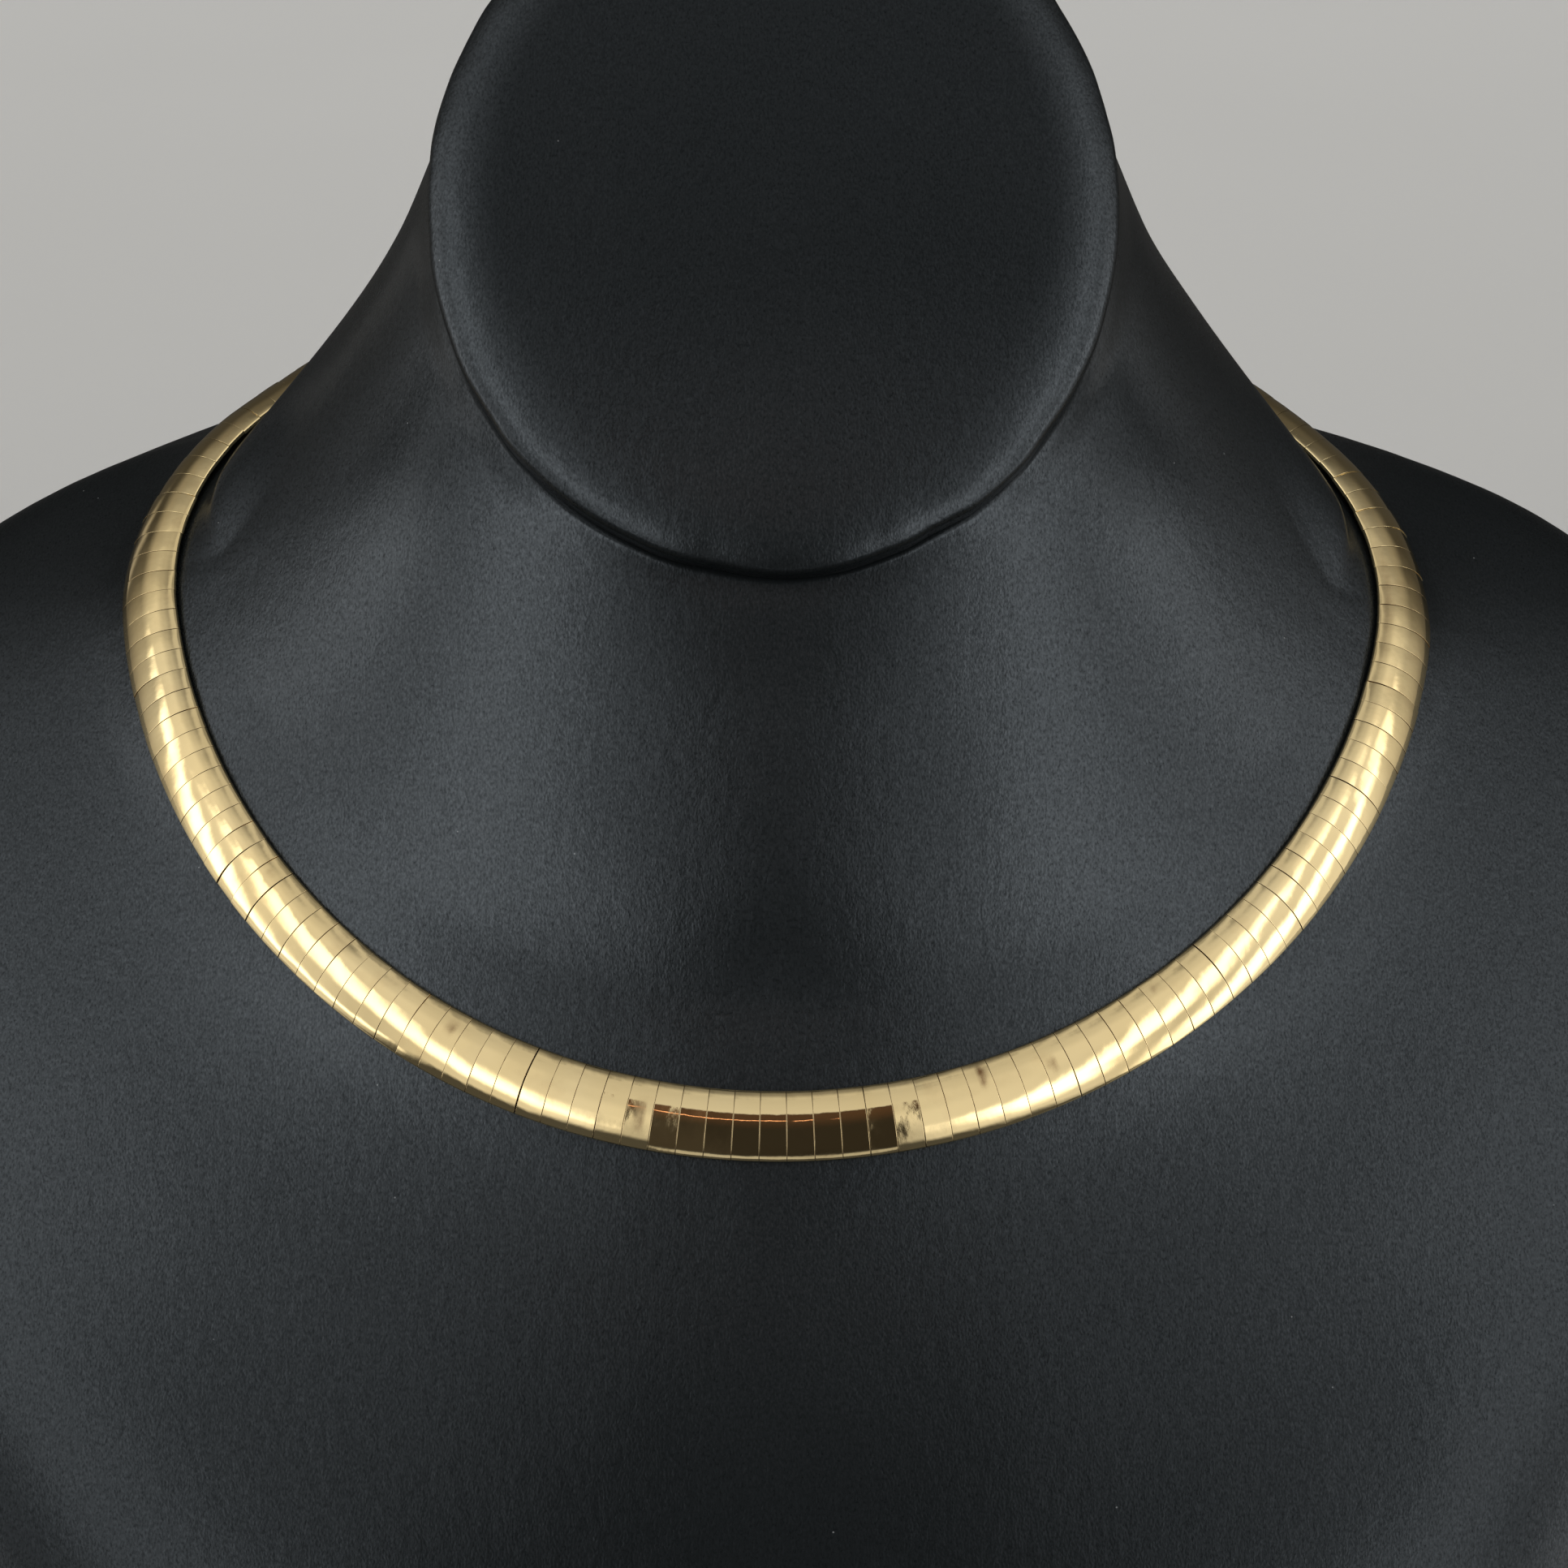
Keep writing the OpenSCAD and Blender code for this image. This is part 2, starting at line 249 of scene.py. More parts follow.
def gold_material(name, polished=True):
    m = Nodes(name)
    obj = m.n("ShaderNodeTexCoord").outputs["Object"]
    m.b.inputs["Metallic"].default_value = 1.0
    big = m.n("ShaderNodeTexNoise", inputs={"Vector": obj, "Scale": 60.0, "Detail": 3.0}).outputs[0]
    tone = m.ramp(big, [(0.3, (0.92, 0.72, 0.37)), (0.7, (0.96, 0.775, 0.43))])
    tarn = m.n("ShaderNodeAttribute", attribute_name="tarnish").outputs["Fac"]
    cloud = m.n("ShaderNodeTexNoise", inputs={"Vector": obj, "Scale": 900.0, "Detail": 4.0}).outputs[0]
    spot = m.math("MULTIPLY", tarn, m.math("MULTIPLY_ADD", cloud, 1.6, 0.1), clamp=True)
    col = m.mix(spot, tone, (0.16, 0.055, 0.018))
    film = m.n("ShaderNodeTexNoise", inputs={"Vector": obj, "Scale": 260.0, "Detail": 5.0}).outputs[0]
    film = m.ramp(film, [(0.56, (0, 0, 0)), (0.75, (1, 1, 1))])
    col = m.mix(m.math("MULTIPLY", film, 0.22), col, (0.60, 0.40, 0.19))
    m.link(col, "Base Color")
    scr = m.n("ShaderNodeTexNoise", inputs={"Vector": obj, "Scale": 1500.0, "Detail": 6.0}).outputs[0]
    rough = m.math("MULTIPLY_ADD", scr, 0.04, 0.02 if polished else 0.25)
    rough = m.math("ADD", rough, m.math("MULTIPLY", film, 0.07))
    rough = m.math("ADD", rough, m.math("MULTIPLY", spot, 0.35), clamp=True)
    m.link(rough, "Roughness")
    dents = m.n("ShaderNodeTexNoise", inputs={"Vector": obj, "Scale": 420.0, "Detail": 2.0}).outputs[0]
    hair = m.n("ShaderNodeTexNoise", inputs={"Vector": obj, "Scale": 5200.0, "Detail": 2.0}).outputs[0]
    h = m.math("MULTIPLY_ADD", dents, 1.0, m.math("MULTIPLY", hair, 0.05))
    bump = m.n("ShaderNodeBump", inputs={"Height": h, "Strength": 0.35, "Distance": 0.00006})
    m.link(bump.outputs[0], "Normal")
    return m.mat


def weave_material(name):
    """Fine woven wire: a herringbone of strands along the strip, by UV (u along in mm, v across in mm)."""
    m = Nodes(name)
    uv = m.n("ShaderNodeTexCoord").outputs["UV"]
    sep = m.n("ShaderNodeSeparateXYZ", inputs={0: uv})
    u, v = sep.outputs[0], sep.outputs[1]
    col_i = m.math("FLOOR", m.math("DIVIDE", v, 0.76))
    odd = m.math("PINGPONG", col_i, 1.0)
    sgn = m.math("MULTIPLY_ADD", odd, 2.0, -1.0)
    inx = m.math("SUBTRACT", m.math("FRACT", m.math("DIVIDE", v, 0.76)), 0.5)
    slant = m.math("ADD", m.math("DIVIDE", u, 0.42), m.math("MULTIPLY", m.math("MULTIPLY", inx, sgn), 1.5))
    wire = m.math("SINE", m.math("MULTIPLY", slant, 6.28318))
    hump = m.math("COSINE", m.math("MULTIPLY", inx, 3.14159))
    h = m.math("MULTIPLY_ADD", wire, 0.5, m.math("MULTIPLY", hump, 1.4))
    m.b.inputs["Metallic"].default_value = 1.0
    fac = m.math("MULTIPLY_ADD", h, 0.4, 0.1, clamp=True)
    m.link(m.mix(fac, (0.30, 0.20, 0.085), (0.80, 0.62, 0.33)), "Base Color")
    m.link(m.math("MULTIPLY_ADD", fac, -0.15, 0.42), "Roughness")
    bump = m.n("ShaderNodeBump", inputs={"Height": h, "Strength": 0.9, "Distance": 0.00016})
    m.link(bump.outputs[0], "Normal")
    return m.mat


def leather_material(name, gloss=1.0):
    m = Nodes(name)
    obj = m.n("ShaderNodeTexCoord").outputs["Object"]
    along = m.n("ShaderNodeVectorMath", operation="MULTIPLY", inputs={0: obj, 1: (1.25, 0.72, 0.72)}).outputs[0]
    warp = m.n("ShaderNodeTexNoise", inputs={"Vector": obj, "Scale": 700.0, "Detail": 1.0}).outputs["Color"]
    vec = m.n("ShaderNodeVectorMath", operation="MULTIPLY_ADD", inputs={0: warp, 1: (0.0007, 0.0007, 0.0007), 2: along}).outputs[0]
    cells = m.n("ShaderNodeTexVoronoi", feature="DISTANCE_TO_EDGE", inputs={"Vector": vec, "Scale": 1900.0}).outputs["Distance"]
    cell = m.ramp(cells, [(0.0, (0, 0, 0)), (0.13, (1, 1, 1))], "EASE")
    fine = m.n("ShaderNodeTexNoise", inputs={"Vector": along, "Scale": 3000.0, "Detail": 1.0}).outputs[0]
    mid = m.n("ShaderNodeTexNoise", inputs={"Vector": along, "Scale": 520.0, "Detail": 1.0}).outputs[0]
    broad = m.n("ShaderNodeTexNoise", inputs={"Vector": obj, "Scale": 28.0, "Detail": 2.0}).outputs[0]
    h = m.math("MULTIPLY_ADD", fine, 0.50, m.math("MULTIPLY", mid, 0.8))
    bump = m.n("ShaderNodeBump", inputs={"Height": h, "Strength": 0.60, "Distance": 0.0001})
    m.link(bump.outputs[0], "Normal")
    tone = m.mix(broad, (0.0046, 0.0058, 0.0064), (0.0068, 0.0083, 0.0090))
    tone = m.mix(m.math("MULTIPLY", cell, 0.35), tone, (0.0085, 0.0100, 0.0108))
    # dust: a few pale specks, one in some hundred cells
    dust = m.n("ShaderNodeTexVoronoi", feature="F1", inputs={"Vector": obj, "Scale": 420.0})
    near = m.math("LESS_THAN", dust.outputs["Distance"], 0.045)
    pick = m.n("ShaderNodeSeparateXYZ", inputs={0: dust.outputs["Color"]}).outputs[0]
    speck = m.math("MULTIPLY", near, m.math("GREATER_THAN", pick, 0.95))
    tone = m.mix(m.math("MULTIPLY", speck, 0.5), tone, (0.30, 0.31, 0.32))
    m.link(tone, "Base Color")
    rough = m.math("ADD", m.math("MULTIPLY_ADD", broad, 0.03, 0.25), m.math("MULTIPLY", fine, 0.03))
    m.link(rough, "Roughness")
    # the sheen is broken up by the grain, weaker in its creases; an attribute paints shade into it in the groove
    # under the panel, on the neck's sides, on the back-facing shoulders, in a strip under the panel and over the
    # panel's middle, and a height ramp paints shade lower down on the chest
    height = m.n("ShaderNodeSeparateXYZ", inputs={0: obj}).outputs[2]
    # painted shade: the sheen is darker lower down on the chest
    low_painted_shade = m.n("ShaderNodeMapRange", interpolation_type="SMOOTHSTEP", inputs={0: height, 1: 0.025, 2: 0.090, 3: 0.52, 4: 1.04}).outputs[0]
    sheen = m.math("MULTIPLY", m.math("MULTIPLY_ADD", cell, 0.18, 0.85), m.n("ShaderNodeAttribute", attribute_name="painted_shade").outputs["Fac"])
    sheen = m.math("MULTIPLY", sheen, m.math("MULTIPLY_ADD", m.math("SUBTRACT", fine, 0.5), 1.6, 1.0))
    sheen = m.math("MULTIPLY", sheen, m.math("MULTIPLY_ADD", broad, 0.12, 0.94))
    m.link(m.math("MULTIPLY", m.math("MULTIPLY", sheen, low_painted_shade), 0.58 * gloss), "Specular IOR Level")
    m.b.inputs["Specular Tint"].default_value = (0.80, 0.90, 1.0, 1.0)
    return m.mat


GOLD = gold_material("polished_gold")
WEAVE = weave_material("woven_gold_wire")
LEATHER = leather_material("black_leatherette", 0.97)
# the panel's copy of the leatherette has less sheen, a painted shade over the whole panel
SHADED_PANEL_LEATHER = leather_material("black_leatherette_panel_shaded", 0.88)

# ---------------------------------------------------------------- plates
RD = (BAND_W ** 2 / 4 + (BAND_H - EDGE_H) ** 2) / (2 * (BAND_H - EDGE_H))
EDGE_A = math.degrees(math.asin(BAND_W / 2 / RD))


def plate_profile():
    """Outer outline of a plate's section with rolled edges, left lip to right lip, its normals, and the matching inner outline."""
    half = BAND_W / 2
    pts = [(CH_W / 2 + 0.05, 0.03), (half - 0.55, 0.0)]
    pts += [(half - 0.35 + 0.35 * math.sin(math.radians(a)), 0.35 - 0.35 * math.cos(math.radians(a))) for a in (0, 30, 60, 90)]
    r = 0.36
    turn = 90 - EDGE_A
    cut = r * math.tan(math.radians(turn / 2))
    pts += [(half - r + r * math.cos(math.radians(a)), EDGE_H - cut + r * math.sin(math.radians(a))) for a in np.linspace(0, turn, 5)]
    a0 = EDGE_A - math.degrees(cut / RD)
    pts += [(RD * math.sin(math.radians(a)), BAND_H - RD + RD * math.cos(math.radians(a))) for a in np.linspace(a0, 0, 15)[1:]]
    right = np.array(pts)
    left = right[:-1] * [-1, 1]
    outer = np.concatenate([left, right[::-1]])
    d = np.gradient(outer, axis=0)
    nrm = np.stack([-d[:, 1], d[:, 0]], -1)
    nrm /= np.linalg.norm(nrm, axis=1)[:, None]
    inner = np.stack([np.clip(outer[:, 0], -CH_W / 2, CH_W / 2), np.minimum(outer[:, 1] + 0.02, CH_H)], -1)
    inner[:, 1] = np.where(np.abs(outer[:, 0]) < CH_W / 2 - 0.05, CH_H, np.clip(outer[:, 1] * 2.0, 0.05, CH_H))
    return outer, nrm, inner


OUTER, ONRM, INNER = plate_profile()
GAP = 0.05
# Seams that stand open wider than the rest: [seam number from the front, gap in mm]
OPEN_SEAMS = {-9: 0.17, -22: 0.13, -24: 0.10, -20: 0.08, -6: 0.08, 4: 0.09, 12: 0.10, 14: 0.08, 19: 0.13, 23: 0.10, 24: 0.09, 29: 0.13, 32: 0.10}
# Tarnish: [length from the front in mm, place across in mm, half length, half width, strength]
TARNISH = [[27.8, -2.8, 0.5, 1.0, 0.9], [27.6, -1.6, 0.35, 0.6, 0.5], [36.3, -1.0, 0.45, 0.6, 0.7], [36.6, -0.1, 0.3, 0.35, 0.4],
           [-39.1, -2.0, 0.45, 0.7, 0.7], [-13.8, 0.0, 0.5, 1.3, 0.55], [-13.5, 1.6, 0.4, 0.8, 0.35],
           [121.0, -3.3, 8.0, 0.6, 0.35], [52.5, -2.9, 0.4, 0.5, 0.4], [-71.0, -2.4, 0.4, 0.6, 0.35], [7.2, 3.5, 2.5, 0.4, 0.3]]
ROLL_R = 0.016


def plate(i, jitter, wave_seed=5):
    """One plate as (points, quads, flat faces, tarnish)."""
    lo, hi = (k * PITCH + 0.4 * (1 - smooth(abs(k), 15, 50)) for k in (i, i + 1))
    lo += OPEN_SEAMS.get(i, GAP) / 2
    hi -= OPEN_SEAMS.get(i + 1, GAP) / 2
    edge = [0.0, 0.008, 0.022, 0.045, 0.065]
    cut = [ROLL_R, ROLL_R * 0.35, ROLL_R * 0.05, 0.0, 0.0]
    st = [lo + e for e in edge] + list(np.linspace(lo, hi, 6)[1:-1]) + [hi - e for e in reversed(edge)]
    inset = cut + [0.0] * 4 + cut[::-1]
    st, inset = np.array(st), np.array(inset)
    mid = (lo + hi) / 2
    calm = 0.22 + 0.78 * float(smooth(abs(mid), 12, 22))
    roll, pitch_j, yaw_j, lift = np.array(jitter) * calm
    ou = OUTER[:, 0][None, :] - inset[:, None] * ONRM[:, 0][None, :]
    ov = OUTER[:, 1][None, :] - inset[:, None] * ONRM[:, 1][None, :]
    s = st[:, None] * np.ones_like(ou)
    # the face's own small dents, and the tilt of this plate among its neighbours
    wav = 0.022 * calm * lattice_noise(np.stack([s / 1.0, ou * 1.3, 0 * s], -1), 2.6, wave_seed) \
        + 0.030 * lattice_noise(np.stack([s / 1.0, ou * 0.7, 0 * s + 50], -1), 6.5, wave_seed + 1)
    up = smooth(OUTER[:, 1], 0.5, 1.0)[None, :]
    pillow = (0.014 - 0.030 * float(smooth(abs(mid), 16, 34))) * ((s - mid) / (PITCH / 2)) ** 2
    ov = ov + up * (wav + pillow + (s - mid) * pitch_j) + ou * roll + lift
    s2 = s + ou * yaw_j
    P = band(s2, ou, ov)
    iu = INNER[:, 0][None, :] * np.ones_like(ou)
    iv = INNER[:, 1][None, :] * np.ones_like(ou) + lift
    Q = band(s, iu, iv)
    rows, cols = ou.shape
    V = np.concatenate([P.reshape(-1, 3), Q.reshape(-1, 3)])
    off = rows * cols
    q = grid_quads(rows, cols, False)
    qi = grid_quads(rows, cols, False)[:, ::-1] + off
    caps = []
    for r, flip in ((0, False), (rows - 1, True)):
        a = r * cols + np.arange(cols - 1)
        c = np.stack([a, a + off, a + 1 + off, a + 1], -1)
        caps.append(c[:, ::-1] if flip else c)
    sides = []
    for k, flip in ((0, True), (cols - 1, False)):
        a = np.arange(rows - 1) * cols + k
        c = np.stack([a, a + off, a + cols + off, a + cols], -1)
        sides.append(c[:, ::-1] if flip else c)
    F = np.concatenate([q[:, ::-1], qi[:, ::-1]] + caps + sides)
    nflat = len(F) - 2 * len(q)
    tar = np.zeros(len(V))
    seam_dirt = 0.75 * (1 - float(smooth(abs(mid), 122, 134)))
    tar[:off] = (np.array([1.0, 0.8, 0.25, 0, 0] + [0] * 4 + [0, 0, 0.25, 0.8, 1.0])[:, None] * np.ones_like(ou) * seam_dirt).ravel()
    tar[off:] = 0.9
    for (ts, tu, ls, lu, k) in TARNISH:
        d = ((s - ts) / ls) ** 2 + ((ou - tu) / lu) ** 2
        tar[:off] += (k * np.exp(-d)).ravel()
    return V, F, np.arange(len(F) - nflat, len(F)), np.clip(tar, 0, 1)


def jitter_for(i):
    r = np.random.default_rng(1000 + i)
    return (r.normal(0, 0.013), r.normal(0, 0.010), r.normal(0, 0.002), r.normal(0, 0.012))


def plate_run(name, first, last):
    VV, FF, flat, tar, nv, nf = [], [], [], [], 0, 0
    for i in range(first, last + 1):
        V, F, fl, t = plate(i, jitter_for(i))
        VV.append(V)
        FF.append(F + nv)
        flat.append(fl + nf)
        tar.append(t)
        nv += len(V)
        nf += len(F)
    return new_mesh("vis_" + name, np.concatenate(VV), np.concatenate(FF), GOLD, node=name,
                    flat=np.concatenate(flat), attr={"tarnish": np.concatenate(tar)})


STARTS = [9, 25, 41, 57, SIDE_PLATES]
plate_run("plates_front", -STARTS[0], STARTS[0] - 1)
for k, part in enumerate(("plates_front", "plates", "plates_back", "plates_nape")):
    a, b = STARTS[k], STARTS[k + 1]
    plate_run(part + "_right", a, b - 1)
    plate_run(part + "_left", -b, -a - 1)

# ---------------------------------------------------------------- woven strip
END_S = SIDE_PLATES * PITCH - 0.1
st = np.linspace(-END_S, END_S, 721)
hw = CH_W / 2 - 0.12
prof = [(-hw, 0.16)] + [(x, 0.10 + 0.04 * math.cos(x / hw * math.pi * 4)) for x in np.linspace(-hw + 0.1, hw - 0.1, 17)] + [(hw, 0.16), (hw, CH_H - 0.14), (-hw, CH_H - 0.14)]
prof = np.array(prof)
P = band(st[:, None], prof[None, :, 0], prof[None, :, 1])
cols = len(prof)
F = grid_quads(len(st), cols, True)
caps = []
n0 = len(st) * cols
V = np.concatenate([P.reshape(-1, 3), P[0].mean(0)[None], P[-1].mean(0)[None]])
for r, c, flip in ((0, n0, True), (len(st) - 1, n0 + 1, False)):
    a = r * cols + np.arange(cols)
    b = r * cols + (np.arange(cols) + 1) % cols
    tri = np.stack([a, b, np.full(cols, c), np.full(cols, -1)], -1)
    if flip:
        tri = tri[:, [1, 0, 2, 3]]
    caps.append(tri)
uv = np.concatenate([np.stack([np.repeat(st, cols), np.tile(prof[:, 0], len(st))], -1), [[0, 0], [0, 0]]])
new_mesh("vis_mesh_core", V, np.concatenate([F] + caps), WEAVE, node="mesh_core", uv=uv)

# ---------------------------------------------------------------- clasp
GOLD_PLAIN = GOLD
clasp_half = CLASP_PITCHES / 2 * PITCH - 0.06


def clasp_section(inset):
    half = BAND_W / 2 - inset
    pts = []
    for (u, v) in OUTER[1:-1]:
        pts.append((u * half / (BAND_W / 2), inset / 3 + v * (BAND_H - inset - inset / 3) / BAND_H))
    return np.array(pts)


# stations along the clasp: [length from its middle, inset of the section]
h = clasp_half
CLASP = [[-h, 0.5], [-h + 0.05, 0.12], [-h + 0.18, 0.0], [-h + 0.8, 0.0], [-h + 1.42, 0.0], [-h + 1.55, 0.12], [-h + 1.62, 0.3],
         [-h + 3.0, 0.3], [-2.9, 0.3], [-2.82, 0.33], [-2.76, 0.45], [-2.70, 0.33], [-2.62, 0.3], [-1, 0.3]]
CLASP = CLASP + [[-a, b] for a, b in CLASP[::-1]]
rows_c = []
for a, ins in CLASP:
    sec = clasp_section(ins)
    s = np.where(a < 0, LOOP / 2 + a, -(LOOP / 2 - a))
    rows_c.append(band(np.full(len(sec), float(s)), sec[:, 0], sec[:, 1]))
rows_c = np.array(rows_c)
cols = rows_c.shape[1]
V = np.concatenate([rows_c.reshape(-1, 3), rows_c[0].mean(0)[None], rows_c[-1].mean(0)[None]])
n0 = len(rows_c) * cols
F = grid_quads(len(rows_c), cols, True)
caps = []
for r, c, flip in ((0, n0, True), (len(rows_c) - 1, n0 + 1, False)):
    a = r * cols + np.arange(cols)
    b = r * cols + (np.arange(cols) + 1) % cols
    tri = np.stack([a, b, np.full(cols, c), np.full(cols, -1)], -1)
    if flip:
        tri = tri[:, [1, 0, 2, 3]]
    caps.append(tri)
F = np.concatenate([F] + caps)[:, :]
new_mesh("vis_clasp", V, F, GOLD_PLAIN, node="clasp", attr={"tarnish": np.zeros(len(V))},
         flat=np.arange(len(F) - 2 * cols, len(F)))

# ---------------------------------------------------------------- bust
# [name, front y, front z, back y, back z, half width, waist, front power, back power], as in the part's source
BODY = [
    ["base", -89, 0, 41, 0, 109, 0.52, 2.9, 4.5],
    ["hem", -91, 3, 43, 12, 112, 0.52, 2.9, 4.5],
    ["belly", -91, 9, 43, 40, 117, 0.52, 2.8, 4.2],
    ["bust", -88.5, 19, 43.5, 81, 122, 0.56, 2.6, 4.0],
    ["chest", -82, 31.5, 44.5, 111, 123.5, 0.62, 2.35, 3.95],
    ["yoke", -73.3, 46, 46.5, 123, 113, 0.66, 2.05, 3.3],
    ["band_lo", -5, 12.5, 0],
    ["band", 0, 6, 0],
    ["band_hi", 3.3, 4, 0],
    ["neck_foot", 5.6, 2.6, 0.27],
    ["neck_lo", -40.5, 97.5, 51.5, 161, 59.8, 0.58, 1.95, 2.1],
    ["neck", -31.5, 113, 50.5, 174, 51.2, 0.56, 2.0, 2.0],
    ["neck_hi", -24.5, 124.5, 47, 188, 45.2, 0.54, 2.0, 2.0],
]
PANEL_FRONT = (-22, 128.75)
PANEL_TILT, PANEL_HW, PANEL_LEN, PANEL_WALL, PANEL_ROLL = 50.0, 42.4, 94.6, 2.4, 1.4
NECK_INSET = 1.2
# Padded face inside the roll: [distance in from the outline, slope in degrees]
PANEL_FACE = [[0.58, 36], [1.2, 31], [1.7, 26], [2.3, 21], [3.1, 16], [4.8, 10], [7.2, 7], [10, 4], [14, 2.6], [22, 1.8], [38, 0.5]]
AROUND = 320
ANG = np.arange(AROUND) * 360.0 / AROUND


def signed_power(x, n):
    return np.sign(x) * np.abs(x) ** (2 / n)


def body_row(r):
    f = np.array([0, r[1] + MIDDLE_Y, r[2]])
    b = np.array([0, r[3] + MIDDLE_Y, r[4]])
    c = f + r[6] * (b - f)
    a = np.radians(ANG)
    s = np.sin(a)
    s[np.abs(s) < 1e-9] = 0
    n = np.where(s >= 0, r[7], r[8])
    end = np.where((s >= 0)[:, None], f, b) - c
    return c + np.stack([r[5] * signed_power(np.cos(a), n), 0 * a, 0 * a], -1) + (np.abs(s) ** (2 / n))[:, None] * end


def band_row(r):
    t = np.abs((ANG - 90 + 540) % 360 - 180)
    side = np.where(np.cos(np.radians(ANG)) < 0, -1.0, 1.0)
    near = 1 - smooth(t, 130, 176)
    b = np.radians(slope(t))
    drawn = 1 - r[3] * smooth(t, 90, 118) * (1 - smooth(t, 150, 176))
    out = near * drawn * (-r[1] / np.tan(b) - SKIN_GAP / np.sin(b)) - (1 - near) * r[2]
    return lay(route_pt(t, side) + out[:, None] * route_out(t, side), r[1])


PUP = np.array([0, math.cos(math.radians(PANEL_TILT)), math.sin(math.radians(PANEL_TILT))])
POUT = np.array([0, -math.sin(math.radians(PANEL_TILT)), math.cos(math.radians(PANEL_TILT))])
PMID = np.array([0, PANEL_FRONT[0] + MIDDLE_Y, PANEL_FRONT[1]]) + PANEL_LEN / 2 * PUP


def cut_by_hand():
    """How far the covered board's edge strays from a true oval: soft waves with a few short steps."""
    g = np.random.default_rng(23)
    out = 0
    for knots, size in ((21, 0.15), (47, 0.07)):
        v = g.normal(0, size, knots)
        x = ANG / 360 * knots
        i = np.floor(x).astype(int)
        f = np.clip((x - i - 0.25) / 0.5, 0, 1)
        out = out + v[i % knots] * (1 - f) + v[(i + 1) % knots] * f
    return np.clip(out, -0.3, 0.3)


WAVER = cut_by_hand()


def panel_ring(inset, rise, waver=0.0):
    a = np.radians(ANG)
    inset = np.asarray(inset) + waver * WAVER
    return PMID + ((PANEL_HW - inset) * np.cos(a))[:, None] * np.array([1.0, 0, 0]) \
        - ((PANEL_LEN / 2 - inset) * np.sin(a))[:, None] * PUP + np.asarray(rise)[..., None] * POUT


def loft(sections, counts):
    S = np.array(sections)
    d = np.linalg.norm(np.diff(S, axis=0), axis=2).mean(1)
    m = np.empty_like(S)
    m[0] = (S[1] - S[0]) / d[0]
    m[-1] = (S[-1] - S[-2]) / d[-1]
    for i in range(1, len(S) - 1):
        m[i] = (S[i + 1] - S[i - 1]) / (d[i] + d[i - 1])
    out = [S[0]]
    for i in range(len(S) - 1):
        for j in range(1, counts[i] + 1):
            u = j / counts[i]
            out.append((2 * u ** 3 - 3 * u * u + 1) * S[i] + (u ** 3 - 2 * u * u + u) * d[i] * m[i]
                       + (3 * u * u - 2 * u ** 3) * S[i + 1] + (u ** 3 - u * u) * d[i] * m[i + 1])
    return np.array(out)


def grid_normals(G):
    du = np.roll(G, -1, 1) - np.roll(G, 1, 1)
    dv = np.gradient(G, axis=0)
    n = np.cross(du, dv)
    return n / (np.linalg.norm(n, axis=2)[..., None] + 1e-12)


# the neck's cover turns in under the panel over a small round lip
front = np.maximum(np.sin(np.radians(ANG)), 0) ** 2
lip_in, lip_drop = -0.1 - 0.42 * front, -1.7 + 1.28 * front
sections = [body_row(r) if len(r) == 9 else band_row(r) for r in BODY]
sections += [panel_ring(lip_in, lip_drop, 0.5), panel_ring(lip_in + 0.5, lip_drop * 0.5 - 0.06, 0.5), panel_ring(NECK_INSET, np.full(AROUND, -0.3))]
G = loft(sections, [5, 6, 8, 8, 8, 8, 6, 5, 4, 9, 10, 8, 8, 4, 4])
N = grid_normals(G)
centre = G.mean((0, 1))
if ((G[60] - G[60].mean(0)) * N[60]).sum() < 0:
    N = -N
soft = 0.10 * lattice_noise(G, 26.0, 3) + 0.05 * lattice_noise(G, 9.0, 4)
away = smooth(G[..., 2], 1.0, 8.0)
G = G + (soft * away - 0.02)[..., None] * N
G[..., 2] = np.maximum(G[..., 2], 0)
rows = len(G)
V = np.concatenate([G.reshape(-1, 3), G[0].mean(0)[None], G[-1].mean(0)[None]])
F = grid_quads(rows, AROUND, True)
caps = []
for r, c, flip in ((0, rows * AROUND, True), (rows - 1, rows * AROUND + 1, False)):
    a = r * AROUND + np.arange(AROUND)
    b = r * AROUND + (np.arange(AROUND) + 1) % AROUND
    tri = np.stack([a, b, np.full(AROUND, c), np.full(AROUND, -1)], -1)
    if flip:
        tri = tri[:, [1, 0, 2, 3]]
    caps.append(tri)
F = np.concatenate([F] + caps)
# painted shade on the leather's sheen: on the neck's sides below the panel, on the shoulders facing back, and in a
# strip under the panel in front
turned_side = np.degrees(np.arctan2(np.abs(N[..., 0]), -N[..., 1]))
neck_side_shade = smooth(G[..., 2], 125, 139) * smooth(turned_side, 28, 38) * (1 - smooth(turned_side, 46, 54))
back_facing_shade = smooth(G[..., 1], 18, 38) * smooth(np.abs(G[..., 0]), 70, 88) * (1 - smooth(G[..., 2], 128, 140))
shaded = smooth(G[..., 2], 112, 124) * (1 - smooth(turned_side, 5, 14)) * (G[..., 1] < MIDDLE_Y)
painted_shade = (1 - 0.62 * neck_side_shade) * (1 - 0.60 * back_facing_shade) * (1 - 0.35 * shaded)
# painted shade in the groove where the cover turns in under the panel
painted_shade[-9:] *= np.array([1.0, 0.7, 0.4, 0.2, 0.12, 0.1, 0.1, 0.1, 0.1])[:, None]
painted_shade = np.concatenate([painted_shade.ravel(), [1.0, 0.1]])
new_mesh("vis_bust_body", V, F, LEATHER, node="bust_body", flat=np.arange(len(F) - 2 * AROUND, len(F)),
         attr={"painted_shade": painted_shade})

